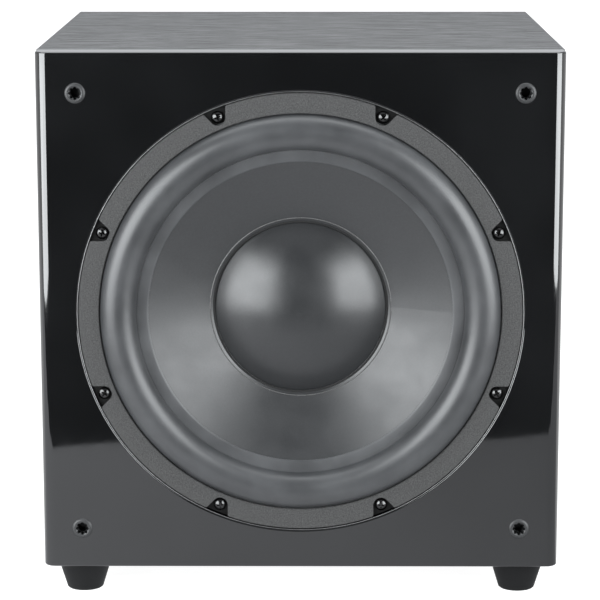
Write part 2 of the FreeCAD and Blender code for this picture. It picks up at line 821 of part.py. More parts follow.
def make_driver_fasteners():
    """Pan-head screws through the flange, and the tee nuts that they run into."""
    head, seat, r = 4.3, D["flange_front"], 2.4
    tip = 22.5
    screw = template("driver_screw", [
        (0.0, seat - 3.1, dome(head, 2.1), False), (head, seat - 1.0), (head, seat), (r, seat),
        (r, seat + tip - 0.6), (r - 0.6, seat + tip), (0.0, seat + tip),
    ])
    cross_recess(screw, 4.6, 1.0, 1.9, "XZ_Plane", -number(seat) + 1.5, True)
    turns = [22.5, 51.0, 70.0, 12.0, 33.0, 80.0, 5.0, 60.0]
    spots = []
    for spin, (x, z) in zip(turns, bolt_spots(SCREWS, D["bolt_r"], 180.0 / SCREWS)):
        spots.append(at(x, FRONT, AXIS_Z + z, Rotation(Vector(0, 1, 0), spin)))
    copies("driver_screws", [screw], spots)
    back = D["board"]
    barrel, disc, bore = 3.35, 8.5, r + 0.05
    nut = template("tee_nut", [
        (bore, 10.0), (barrel, 10.0), (barrel, back), (disc, back), (disc, back + 1.2), (bore, back + 1.2),
    ])
    copies("tee_nuts", [nut], spots)


def make_terminals():
    """Terminal board on the basket's shelf, with a pair of solder lugs."""
    holes = [(sx * LUG_X, LUG_UP, 2.0) for sx in (-1, 1)]
    spot = (0.0, FRONT + SHELF_DEEP + 2, AXIS_Z)
    outline = rectangle(-16.0, SHELF_LOW + 5.2, 16.0, SHELF_HIGH - 1)
    padded("terminal_board", "XZ_Plane", [outline], 0.0, 2.0, spot, True, holes)
    y, z = number(FRONT + SHELF_DEEP) + 2, number(AXIS_Z) + LUG_UP
    lugs = []
    for sx in (-1, 1):
        foot = Part.makeBox(6.3, 0.8, 14.0, Vector(sx * LUG_X - 3.15, y, z - 2.8))
        blade = Part.makeBox(6.3, 12.0, 0.8, Vector(sx * LUG_X - 3.15, y + 0.4, z + 9.0))
        lugs.append(foot.fuse(blade).removeSplitter())
    grouped("terminal_lugs", lugs)


def rounded_path(points):
    """Straight runs joined by tangent arcs as large as the runs allow."""
    spots = [Vector(*p) for p in points]
    edges, last = [], spots[0]
    for before, corner, after in zip(spots, spots[1:], spots[2:]):
        a, b = before - corner, after - corner
        half = (math.pi - a.getAngle(b)) / 2
        cut = 0.45 * min(a.Length, b.Length)
        radius = cut / math.tan(half)
        a.normalize()
        b.normalize()
        start, end = corner + a * cut, corner + b * cut
        middle = corner + (a + b).normalize() * (radius / math.cos(half) - radius)
        edges.append(Part.makeLine(last, start))
        edges.append(Part.Arc(start, middle, end).toShape())
        last = end
        print(f"  bend radius {radius:.1f} mm")
    edges.append(Part.makeLine(last, spots[-1]))
    return Part.Wire(edges)


def tube_along(points, radius):
    """A round lead along a rounded path, checked against its length times its section."""
    path = rounded_path(points)
    tangent = path.Edges[0].tangentAt(path.Edges[0].FirstParameter)
    section = Part.Wire(Part.makeCircle(radius, path.Vertexes[0].Point, tangent))
    solid = path.makePipeShell([section], True, True)
    wanted = math.pi * radius**2 * path.Length
    if abs(solid.Volume / wanted - 1) > 0.02:
        raise RuntimeError("a lead's volume is not its section times its length")
    print(f"  lead of {path.Length:.0f} mm")
    return solid


def make_leads():
    """Braided leads from the lugs to the cone, and the insulated pair from the amplifier to the lugs."""
    y, z = number(FRONT), number(AXIS_Z)
    lug = y + number(SHELF_DEEP) + 2
    braid = []
    for sx in (-1, 1):
        points = [
            (sx * LUG_X, lug, z + LUG_UP), (sx * LUG_X, y + 36.0, z + LUG_UP),
            (sx * 9.5, y + 45.0, z + 77.0), (sx * 10.0, y + number(cone_deep(50.0)) + 1.65, z + 50.0),
        ]
        braid.append(tube_along(points, 1.0))
    grouped("tinsel_leads", braid)
    box_front = number(BACK) - number(D["amp_box_deep"])
    pair = []
    for sx in (-1, 1):
        points = [
            (sx * 3.0, box_front + 4.0, z + 70.0), (sx * 3.0, box_front - 18.0, z + 70.0),
            (sx * 5.0 + 45.0, box_front - 52.0, z + 84.0), (sx * 6.0 + 48.0, y + 170.0, z + 112.0),
            (sx * 7.0 + 30.0, y + 122.0, z + 128.0), (sx * 11.0, lug + 42.0, z + LUG_UP + 11.0),
            (sx * LUG_X, lug + 12.55, z + LUG_UP + 9.4),
        ]
        pair.append(tube_along(points, 1.7))
    grouped("speaker_leads", pair)


# ---------------------------------------------------------------- amplifier


def amp_screw_spots():
    """Screw positions round the amplifier plate's edge, as (x, z) from its middle."""
    x, z = number(D["amp_w"]) / 2 - 6, number(D["amp_h"]) / 2 - 6
    rows = [z - 2 * z * i / (AMP_SCREW_ROWS - 1) for i in range(AMP_SCREW_ROWS)]
    return [(sx * x, row) for sx in (-1, 1) for row in rows] + [(0.0, z), (0.0, -z)]


def amp_cut_out():
    """Outline of the rear board's opening for the amplifier."""
    w, h = D["amp_cut_w"] / 2, D["amp_cut_h"] / 2
    return rectangle(-w, -h, w, h)


def jack_spots():
    """Centres of the four phono jacks, as (x, z) from the plate's middle."""
    x, up, pitch = D["jack_x"], D["jack_up"], D["jack_pitch"]
    return [(sx * x, up - row * pitch) for row in (0, 1) for sx in (-1, 1)]


INLET_W, INLET_H = 27.6, 32.0
ROCKER_W, ROCKER_H = 19.0, 26.0


def make_amp_plate():
    """Aluminium plate with openings for every control and connector."""
    w, h = D["amp_w"] / 2, D["amp_h"] / 2
    inlet_x, rocker_x, mains_z = D["inlet_x"], D["rocker_x"], D["mains_up"]

    def opening(x, wide, high):
        return rectangle(x - wide / 2, mains_z - high / 2, x + wide / 2, mains_z + high / 2)

    mains = [opening(inlet_x, INLET_W, INLET_H), opening(rocker_x, ROCKER_W, ROCKER_H)]
    outlines = [rectangle(-w, -h, w, h), *mains]
    circles = [(x, z, 2.0) for x, z in amp_screw_spots()]
    circles += [(sx * D["knob_x"], D["knob_up"], 3.6) for sx in (-1, 1)]
    circles += [(sx * D["knob_x"], D["toggle_up"], 3.1) for sx in (-1, 1)]
    circles += [(0.0, D["knob_up"], 1.6)]
    circles += [(x, z, 5.0) for x, z in jack_spots()]
    spot = (0.0, PLATE_FACE, AXIS_Z)
    body = padded("amp_plate", "XZ_Plane", outlines, 0.0, D["amp_t"], spot, False, circles)

    def corner(edge):
        box_ = edge.BoundBox
        outermost = abs(abs(box_.XMin) - number(w)) < TINY and abs(abs(box_.ZMin) - number(h)) < TINY
        return outermost and box_.YLength > 1

    dress(body, "Fillet", 4.0, corner)
    keep(body)
    seal = [rectangle(-w + 0.5, -h + 0.5, w - 0.5, h - 0.5), amp_cut_out()]
    holes = [(x, z, 1.8) for x, z in amp_screw_spots()]
    spot = (0.0, BACK + D["amp_seal_t"], AXIS_Z)
    padded("amp_seal", "XZ_Plane", seal, 0.0, D["amp_seal_t"], spot, True, holes)
    seat, head, shank = D["amp_t"] + D["amp_seal_t"], 3.4, 1.55
    screw = template("amp_screw", [
        (0.0, -16.0), (0.6, -15.2), (shank, -13.0), (shank, seat), (head, seat),
        (head, seat + 0.9, dome(head, 1.4), False), (0.0, seat + 2.3),
    ])
    cross_recess(screw, 3.6, 0.8, 1.5, "XZ_Plane", -number(seat) - 2.5, True)
    spots = []
    for i, (x, z) in enumerate(amp_screw_spots()):
        spots.append(at(x, BACK, AXIS_Z + z, Rotation(Vector(0, 1, 0), 17.0 * i)))
    copies("amp_screws", [screw], spots)


def make_amp_insides():
    """Sealed housing behind the plate, with the circuit board and what stands on it."""
    w, h, deep, t = D["amp_cut_w"] - 4, D["amp_cut_h"] - 4, D["amp_box_deep"], 1.5
    y = BACK - deep
    outer = box("amp_box_outer", -w / 2, y, AXIS_Z - h / 2, w, deep + D["amp_seal_t"], h, False)
    inner = box("amp_box_inner", -w / 2 + t, y + t, AXIS_Z - h / 2 + t, w - 2 * t, deep + 2, h - 2 * t, False)
    gland_hole = rod("amp_box_hole", 0.0, y - 2, AXIS_Z + 70, 7.0, 6.0, along_y())
    minus("amp_box", outer, [inner, gland_hole])
    gland = turned("lead_gland", [
        (6.95, 0.0), (9.5, 0.0), (9.5, -2.0), (7.0, -3.5), (0.0, -3.5), (0.0, 4.5), (6.95, 4.5),
    ], y, 0.0, AXIS_Z + 70, finish=False)
    pocket(gland, "XZ_Plane", circles=[(3.0, 0.0, 1.75), (-3.0, 0.0, 1.75)])
    keep(gland)
    board_y = BACK - 36
    box("main_board", -82.0, board_y, AXIS_Z - 118, 164.0, 1.6, 236.0)
    post = template("post", tube_outline(1.5, 3.0, 0.0, 35.2))
    spots = [at(x, board_y + 1.6, AXIS_Z + z) for x in (-74.0, 74.0) for z in (-112.0, 112.0)]
    copies("board_posts", [post], spots)
    core = box("core_block", -34.0, board_y - 30, AXIS_Z - 100, 40.0, 30.0, 34.0, False)
    coil = rod("core_coil", -14.0, board_y - 34, AXIS_Z - 83, 12.0, 34.0, along_y())
    union("transformer", [core, coil])
    can = template("can", [
        (0.0, -32.0), (10.2, -32.0), (11.0, -31.2), (11.0, -28.6),
        (10.4, -28.0), (11.0, -27.4), (11.0, 0.0), (0.0, 0.0),
    ])
    spots = [at(x, board_y, AXIS_Z + z) for x in (34.0, 60.0) for z in (-92.0, -64.0)]
    copies("supply_capacitors", [can], spots)
    sink = [(0.0, 0.0), (4.0, 0.0), (4.0, 30.0), (44.0, 30.0), (44.0, 34.2), (0.0, 34.2)]
    padded("heat_spreader", "XY_Plane", [sink], -30.0, 72.0, (-78.0, BACK - 33.6 + 0.2, AXIS_Z - 8.0))


def make_knobs():
    """Level and crossover knobs on their potentiometers."""
    tip = BACK + D["rear_reach"]
    length, r, shaft = D["knob_len"], D["knob_r"], D["shaft_r"]
    bore = shaft + 0.05
    for name, sx in (("level", 1), ("crossover", -1)):
        x, z = sx * D["knob_x"], AXIS_Z + D["knob_up"]
        knob = turned(f"{name}_knob", [
            (bore, 0.0), (r, 0.0), (r, 1.5), (r - 1.2, 2.5), (r - 1.7, length - 1.2), (r - 2.9, length),
            (0.0, length), (0.0, length - 2.5), (bore, length - 2.5),
        ], tip - length, x, z, finish=False)
        groove = pocket(knob, "XZ_Plane", circles=[(r + 0.1, 0.0, 1.35)], start=-length,
                        length=length - 2.6, reverse=True)
        repeat_around(knob, groove, 18)
        pocket(knob, "XZ_Plane", [rectangle(-0.5, 2.0, 0.5, 8.0)], start=-length, length=0.6, reverse=True)
        keep(knob)
        reach = tip - PLATE_FACE - 2.6
        outline = [(0.0, -14.0), (shaft, -14.0), (shaft, reach), (0.0, reach)]
        turned(f"{name}_shaft", outline, PLATE_FACE, x, z)
    can = template("pot_can", [
        (bore, -17.0), (8.5, -17.0), (8.5, -D["amp_t"]), (3.5, -D["amp_t"]), (3.5, 0.8), (bore, 0.8),
    ])
    nut = template("pot_nut", [(3.55, 0.0), (5.6, 0.0), (5.6, 0.7), (3.55, 0.7)])
    spots = [at(sx * D["knob_x"], PLATE_FACE, AXIS_Z + D["knob_up"]) for sx in (-1, 1)]
    copies("pot_cans", [can, nut], spots)


TOGGLE_TILT = 12.0


def make_toggles():
    """Two-way toggle switches: a threaded bush and nut with a bat lever that pivots in it."""
    bush = template("toggle_bush", [
        (1.65, -3.0), (1.65, 0.9), (2.65, 5.0), (3.0, 5.0), (3.0, 2.0), (4.6, 2.0), (4.6, 0.0), (3.0, 0.0),
        (3.0, -3.0), (6.0, -3.0), (6.0, -12.0), (0.0, -12.0), (0.0, -3.0),
    ])
    pocket(bush, "YZ_Plane", circles=[(0.0, 0.0, 0.75)], start=-2.7, length=5.4, reverse=True)
    spots = [at(sx * D["knob_x"], PLATE_FACE, AXIS_Z + D["toggle_up"]) for sx in (-1, 1)]
    copies("toggle_bodies", [bush], spots)
    tilt = Rotation(Vector(1, 0, 0), TOGGLE_TILT)
    for name, sx in (("phase", 1), ("standby", -1)):
        lever = turned(f"{name}_lever", [
            (0.0, -1.6, 1.6, False), (1.1, 1.162), (1.1, 5.0), (1.6, 8.8, 1.6, False), (0.0, 10.4),
        ], finish=False)
        add_axle(lever, 0.7, 5.0)
        place(lever, sx * D["knob_x"], PLATE_FACE, AXIS_Z + D["toggle_up"], tilt)
        keep(lever)


def make_rocker():
    """Mains rocker switch: bezel and body through the plate, and the rocker that tips in it."""
    x, z = D["rocker_x"], AXIS_Z + D["mains_up"]
    w, h, lip, wall = ROCKER_W - 0.2, ROCKER_H - 0.2, 1.8, 1.6
    left, low = x - w / 2, z - h / 2
    flange = box("rocker_flange", left - lip, PLATE_FACE, low - lip, w + 2 * lip, 2.0, h + 2 * lip, False)
    shell = box("rocker_shell", left, PLATE_FACE - 20, low, w, 20.5, h, False)
    inside = (w - 2 * wall, 30.0, h - 2 * wall)
    well = box("rocker_well", left + wall, PLATE_FACE - 12, low + wall, *inside, False)
    whole = union("rocker_whole", [flange, shell], False)
    pivot = rod("rocker_pivot", x - w / 2 + 0.6, PLATE_FACE, z, 1.3, w - 1.2, Rotation(Vector(0, 1, 0), 90))
    minus("rocker_frame", whole, [well, pivot])
    half = 9.6
    wide = w - 4.2
    rocker = padded("power_rocker", "YZ_Plane", [[
        (-4.0, -3.0), (0.8, -half), (5.2, -half + 0.2), (2.2, 0.0),
        (2.2, half - 0.6), (-0.8, half), (-4.0, 3.0),
    ]], -wide / 2, wide, (x, PLATE_FACE, z), False)
    add_axle(rocker, 1.2, w - 1.8)
    keep(rocker)


def make_inlet():
    """Mains inlet: a framed well with three blades, and the fuse drawer below it."""
    x, z = D["inlet_x"], AXIS_Z + D["mains_up"]
    w, h, lip = INLET_W - 0.3, INLET_H - 0.3, 2.2
    left, low = x - w / 2, z - h / 2
    flange = box("inlet_flange", left - lip, PLATE_FACE, low - lip, w + 2 * lip, 2.5, h + 2 * lip, False)
    shell = box("inlet_shell", left, PLATE_FACE - 22, low, w, 22.5, h, False)
    well = box("inlet_well", x - 12.0, PLATE_FACE - 15, z - 3.0, 24.0, 30.0, 16.6, False)
    slot = box("inlet_slot", x - 11.2, PLATE_FACE - 20, z - 14.0, 22.4, 30.0, 8.6, False)
    whole = union("inlet_whole", [flange, shell], False)
    minus("mains_inlet", whole, [well, slot])
    base = Vector(number(x), number(PLATE_FACE), number(z))
    middle = 5.3
    grouped("inlet_blades", [
        Part.makeBox(2.0, 12.5, 4.0, base + Vector(dx - 1.0, -15.0, middle + dz - 2.0))
        for dx, dz in ((-7.0, -1.5), (0.0, 2.5), (7.0, -1.5))
    ])
    front = box("fuse_face", x - 10.9, PLATE_FACE - 1.0, z - 13.7, 21.8, 4.1, 8.0, False)
    tray = box("fuse_tray", x - 10.0, PLATE_FACE - 18.0, z - 12.9, 20.0, 18.0, 3.9, False)
    groove = box("fuse_grip", x - 5.0, PLATE_FACE + 2.2, z - 10.4, 10.0, 3.0, 1.4, False)
    bed = rod("fuse_bed", x, PLATE_FACE - 17.0, z - 9.0, 2.65, 14.0, along_y())
    minus("fuse_drawer", union("fuse_whole", [front, tray], False), [groove, bed])
    cartridge = [(0.0, 0.0), (2.6, 0.0), (2.6, 13.0), (0.0, 13.0)]
    turned("fuse_cartridge", cartridge, PLATE_FACE - 16.5, x, z - 9.0)


def make_jacks():
    """Phono jacks: plated shells, each with a coloured insulator and a hollow centre contact."""
    shell = template("phono_shell", [
        (3.3, -5.0), (4.9, -5.0), (4.9, 0.0), (6.4, 0.0), (6.4, 1.2),
        (4.15, 1.8), (4.15, 9.4), (3.8, 9.8), (3.3, 9.8),
    ])
    core = template("phono_core", [
        (2.2, -5.0), (3.25, -5.0), (3.25, 9.3), (2.2, 9.3),
    ])
    contact = template("phono_contact", [
        (0.0, -9.0), (1.0, -9.0), (1.0, -5.0), (2.15, -5.0),
        (2.15, 9.0), (1.6, 9.0), (1.6, -3.0), (0.0, -3.0),
    ])
    spots = [at(x, PLATE_FACE, AXIS_Z + z) for x, z in jack_spots()]
    copies("phono_metal", [shell, contact], spots)
    copies("phono_insulators", [core], spots)


def make_lamp():
    """Status lamp: a small domed light guide through the plate."""
    stem, collar = 1.5, 2.4
    turned("status_lamp", [
        (0.0, -10.0), (collar, -10.0), (collar, -D["amp_t"]), (stem, -D["amp_t"]),
        (stem, 0.6, dome(stem, 0.7), False), (0.0, 1.3),
    ], PLATE_FACE, 0.0, AXIS_Z + D["knob_up"])


# ---------------------------------------------------------------- build and write


def export():
    """Checks every object and sub-part, then writes one STEP file for each sub-part."""
    doc.recompute()
    faulty = [thing.Label for thing in doc.Objects if {"Invalid", "Error"} & set(thing.State)]
    if faulty:
        raise RuntimeError(f"invalid objects: {faulty}")
    os.makedirs("parts", exist_ok=True)
    for old in os.listdir("parts"):
        os.remove(os.path.join("parts", old))
    for thing in parts:
        shape = thing.Shape
        if shape.isNull() or not shape.isValid() or not shape.Solids:
            raise RuntimeError(f"{thing.Label}: its shape is not a valid solid")
        shape.exportStep(f"parts/{thing.Label}.step")
    print(f"{len(parts)} sub-parts written")


def main():
    make_baffle()
    make_wrap()
    make_rear_panel()
    make_brace()
    make_lining()
    make_feet()
    make_sockets()
    make_trim_ring()
    make_basket()
    make_driver_seal()
    make_surround()
    make_cone()
    make_dust_cap()
    make_spider()
    make_motor()
    make_driver_fasteners()
    make_terminals()
    make_leads()
    make_amp_plate()
    make_amp_insides()
    make_knobs()
    make_toggles()
    make_rocker()
    make_inlet()
    make_jacks()
    make_lamp()
    export()


main()
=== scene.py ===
"""Looks of the subwoofer: its materials, the soft and added pieces, and a plain studio round it."""
import math

import bmesh
import bpy
import numpy as np
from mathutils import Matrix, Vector, noise


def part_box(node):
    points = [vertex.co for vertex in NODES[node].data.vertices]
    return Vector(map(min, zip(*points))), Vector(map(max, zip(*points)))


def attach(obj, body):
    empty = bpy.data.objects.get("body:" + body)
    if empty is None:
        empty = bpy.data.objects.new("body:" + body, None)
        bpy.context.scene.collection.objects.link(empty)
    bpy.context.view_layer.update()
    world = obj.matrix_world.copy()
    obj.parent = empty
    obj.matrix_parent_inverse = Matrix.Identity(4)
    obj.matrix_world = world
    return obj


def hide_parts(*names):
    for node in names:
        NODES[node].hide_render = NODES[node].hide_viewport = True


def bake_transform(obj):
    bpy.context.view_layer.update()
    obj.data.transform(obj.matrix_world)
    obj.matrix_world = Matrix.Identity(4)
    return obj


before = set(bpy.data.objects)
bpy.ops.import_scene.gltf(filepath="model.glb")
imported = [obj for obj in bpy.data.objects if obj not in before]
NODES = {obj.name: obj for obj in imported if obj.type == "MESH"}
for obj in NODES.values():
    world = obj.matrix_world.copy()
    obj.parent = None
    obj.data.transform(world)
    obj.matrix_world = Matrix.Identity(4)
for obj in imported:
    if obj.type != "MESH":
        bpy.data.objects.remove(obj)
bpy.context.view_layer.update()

WALL_TOP, WALL_SIDE = 52.0, 80.0  # how far up and round the dark wall reaches, in degrees
GLOW = (1.35, 0.76)  # the table's glow at its left and at its right

CABINET, MOVING = "cabinet", "cone_assembly"

baffle_low, baffle_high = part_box("front_baffle")
FRONT = baffle_low[1]  # y of the baffle's face
AXIS_Z = (baffle_low[2] + baffle_high[2]) / 2  # height of the woofer's axis
PLATE_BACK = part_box("amp_plate")[1][1]  # y of the amplifier plate's outer face
MM = 0.001


# ---------------------------------------------------------------- materials


class Finish:
    """A node material, built up from a principled shader."""

    def __init__(self, name, colour, roughness, metallic=0.0, ior=1.5, **sockets):
        self.material = bpy.data.materials.new(name)
        self.material.use_nodes = True
        self.tree = self.material.node_tree
        self.shader = self.tree.nodes["Principled BSDF"]
        self.shader.inputs["Base Color"].default_value = (*colour, 1.0)
        self.shader.inputs["Roughness"].default_value = roughness
        self.shader.inputs["Metallic"].default_value = metallic
        self.shader.inputs["IOR"].default_value = ior
        for socket, value in sockets.items():
            self.shader.inputs[socket.replace("_", " ")].default_value = value
        self.spot = self.tree.nodes.new("ShaderNodeTexCoord").outputs["Object"]

    def stretched(self, scale):
        """Object coordinates, scaled differently along each axis."""
        mapping = self.tree.nodes.new("ShaderNodeMapping")
        mapping.inputs["Scale"].default_value = scale
        self.tree.links.new(self.spot, mapping.inputs["Vector"])
        return mapping.outputs["Vector"]

    def noise(self, scale, detail=3.0, roughness=0.55, stretch=(1, 1, 1), distortion=0.0):
        node = self.tree.nodes.new("ShaderNodeTexNoise")
        node.inputs["Scale"].default_value = scale
        node.inputs["Detail"].default_value = detail
        node.inputs["Roughness"].default_value = roughness
        node.inputs["Distortion"].default_value = distortion
        self.tree.links.new(self.stretched(stretch), node.inputs["Vector"])
        return node.outputs["Fac"]

    def cells(self, scale, stretch=(1, 1, 1)):
        """Distance to the nearest of scattered points: grains and pores."""
        node = self.tree.nodes.new("ShaderNodeTexVoronoi")
        node.inputs["Scale"].default_value = scale
        self.tree.links.new(self.stretched(stretch), node.inputs["Vector"])
        return node.outputs["Distance"]

    def waves(self, scale, axis):
        node = self.tree.nodes.new("ShaderNodeTexWave")
        node.bands_direction = axis
        node.inputs["Scale"].default_value = scale
        node.inputs["Distortion"].default_value = 0.4
        self.tree.links.new(self.spot, node.inputs["Vector"])
        return node.outputs["Fac"]

    def remap(self, value, source, target):
        node = self.tree.nodes.new("ShaderNodeMapRange")
        node.inputs["From Min"].default_value, node.inputs["From Max"].default_value = source
        node.inputs["To Min"].default_value, node.inputs["To Max"].default_value = target
        self.tree.links.new(value, node.inputs["Value"])
        return node.outputs["Result"]

    def colours(self, value, dark, light, source=(0.3, 0.7)):
        """Base colour between dark and light, by value."""
        ramp = self.tree.nodes.new("ShaderNodeValToRGB")
        first, second = ramp.color_ramp.elements
        first.position, second.position = source
        first.color, second.color = (*dark, 1.0), (*light, 1.0)
        self.tree.links.new(value, ramp.inputs["Fac"])
        self.tree.links.new(ramp.outputs["Color"], self.shader.inputs["Base Color"])
        return self

    def roughens(self, value, low, high, source=(0.3, 0.7)):
        self.tree.links.new(self.remap(value, source, (low, high)), self.shader.inputs["Roughness"])
        return self

    def bumps(self, value, depth):
        """Raises the surface by up to depth metres, on top of any bump there already."""
        node = self.tree.nodes.new("ShaderNodeBump")
        node.inputs["Strength"].default_value = 1.0
        node.inputs["Distance"].default_value = depth
        self.tree.links.new(value, node.inputs["Height"])
        normal = self.shader.inputs["Normal"]
        if normal.is_linked:
            self.tree.links.new(normal.links[0].from_socket, node.inputs["Normal"])
        self.tree.links.new(node.outputs["Normal"], normal)
        return self


def grey(value, warm=0.0):
    return (value * (1 + warm), value, value * (1 - warm))


def cool(value):
    """A neutral grey with a little more blue."""
    return (value * 0.96, value, value * 1.06)


def lacquer():
    """Polished black lacquer, with the faint ripple of a sprayed board."""
    m = Finish("gloss_lacquer", cool(0.0038), 0.045, ior=1.66)
    ripple = m.noise(14.0, 1.0)
    m.bumps(ripple, 0.00006).roughens(m.noise(160.0, 4.0), 0.035, 0.06)
    return m.colours(ripple, cool(0.0032), cool(0.005))


def vinyl_wrap(name, along):
    """Black ash vinyl: streaks and pores that run along one axis."""
    m = Finish(name, cool(0.02), 0.36, ior=1.5)

    def run(fine, long):
        return tuple(long if i == along else fine for i in range(3))

    streaks = m.noise(1.0, 4.0, 0.7, run(260.0, 22.0), 0.3)
    pores = m.noise(1.0, 3.0, 0.6, run(1100.0, 60.0))
    m.colours(streaks, cool(0.009), cool(0.038), (0.38, 0.66))
    m.roughens(streaks, 0.58, 0.34, (0.38, 0.62))
    return m.bumps(m.remap(pores, (0.4, 0.5), (0.0, 1.0)), 0.0003)


def trim_rubber():
    """Moulded rubber with a sandy grain."""
    m = Finish("sandy_rubber", grey(0.03), 0.75, ior=1.36)
    grains = m.cells(1700.0)
    m.colours(m.noise(1000.0, 3.0, 0.7), grey(0.013), grey(0.046))
    return m.bumps(grains, 0.00014).bumps(m.noise(420.0, 2.0), 0.0001)


def soft_rubber(name, tone, roughness):
    """Smooth rubber with a faint bloom."""
    m = Finish(name, cool(tone), roughness, ior=1.5)
    bloom = m.noise(35.0, 5.0, 0.6)
    m.colours(bloom, cool(tone * 0.8), cool(tone * 1.25))
    m.roughens(bloom, roughness - 0.05, roughness + 0.06)
    return m.bumps(m.noise(1600.0, 2.0), 0.00002)


def cone_sheet(name, tone, roughness):
    """Pressed and coated cone material, with a fine fibrous tooth."""
    m = Finish(name, cool(tone), roughness, ior=1.5)
    fibre = m.noise(700.0, 5.0, 0.65, distortion=0.6)
    m.colours(fibre, cool(tone * 0.8), cool(tone * 1.2))
    return m.roughens(m.noise(60.0, 4.0), roughness - 0.03, roughness + 0.05).bumps(fibre, 0.00003)


def moulded(name, colour, roughness, **sockets):
    """Moulded plastic with a fine spark-eroded texture."""
    m = Finish(name, colour, roughness, **sockets)
    speck = m.noise(1200.0, 2.0)
    m.colours(m.noise(50.0, 4.0), tuple(c * 0.85 for c in colour), tuple(c * 1.15 for c in colour))
    return m.roughens(speck, roughness - 0.06, roughness + 0.08).bumps(speck, 0.00002)


def metal(name, colour, roughness, lathe=0.0):
    """Bare or plated metal, with fine turning or brushing marks."""
    m = Finish(name, colour, roughness, 1.0)
    marks = m.noise(1.0, 4.0, 0.6, (90.0, 1500.0, 90.0))
    m.colours(m.noise(30.0, 4.0), tuple(c * 0.82 for c in colour), colour)
    m.roughens(marks, max(roughness - 0.08, 0.04), roughness + 0.1)
    return m.bumps(marks, 0.00001 + lathe)


def painted(name, tone, roughness, **sockets):
    """Powder-coated metal: a fine orange peel."""
    m = Finish(name, grey(tone), roughness, **sockets)
    peel = m.noise(900.0, 2.0)
    m.colours(m.noise(40.0, 3.0), grey(tone * 0.85), grey(tone * 1.15))
    return m.roughens(peel, roughness - 0.05, roughness + 0.05).bumps(peel, 0.00005)


def cloth(name, colour, weave):
    """Woven cloth, from two crossed sets of threads."""
    m = Finish(name, colour, 0.85)
    m.colours(m.noise(150.0, 4.0), tuple(c * 0.7 for c in colour), colour)
    return m.bumps(m.waves(weave, "X"), 0.0001).bumps(m.waves(weave, "Z"), 0.0001)


def fibre_mat():
    """Loose polyester fibre."""
    m = Finish("lining_wool", (0.7, 0.7, 0.67), 0.95)
    strands = m.noise(260.0, 8.0, 0.75, (1, 1, 1), 2.5)
    m.colours(strands, (0.42, 0.42, 0.4), (0.8, 0.8, 0.77))
    return m.bumps(strands, 0.0016)


def board():
    """Raw fibreboard."""
    m = Finish("raw_fibreboard", (0.42, 0.3, 0.18), 0.85)
    m.colours(m.noise(700.0, 6.0, 0.7), (0.33, 0.23, 0.13), (0.5, 0.37, 0.23))
    return m.bumps(m.noise(500.0, 3.0), 0.00008)


def circuit():
    """Solder mask with copper runs showing through."""
    m = Finish("green_mask", (0.02, 0.13, 0.05), 0.35)
    runs = m.cells(120.0)
    m.colours(runs, (0.012, 0.09, 0.035), (0.035, 0.2, 0.08), (0.3, 0.36))
    return m.bumps(runs, 0.00003)


def lamp():
    m = Finish("lamp_red", (0.35, 0.01, 0.01), 0.15, Transmission_Weight=0.4, Coat_Weight=0.5)
    return m.roughens(m.noise(900.0), 0.1, 0.22)


def glass():
    m = Finish("fuse_glass", (0.85, 0.9, 0.9), 0.04, Transmission_Weight=0.9)
    return m.roughens(m.noise(400.0), 0.02, 0.07)


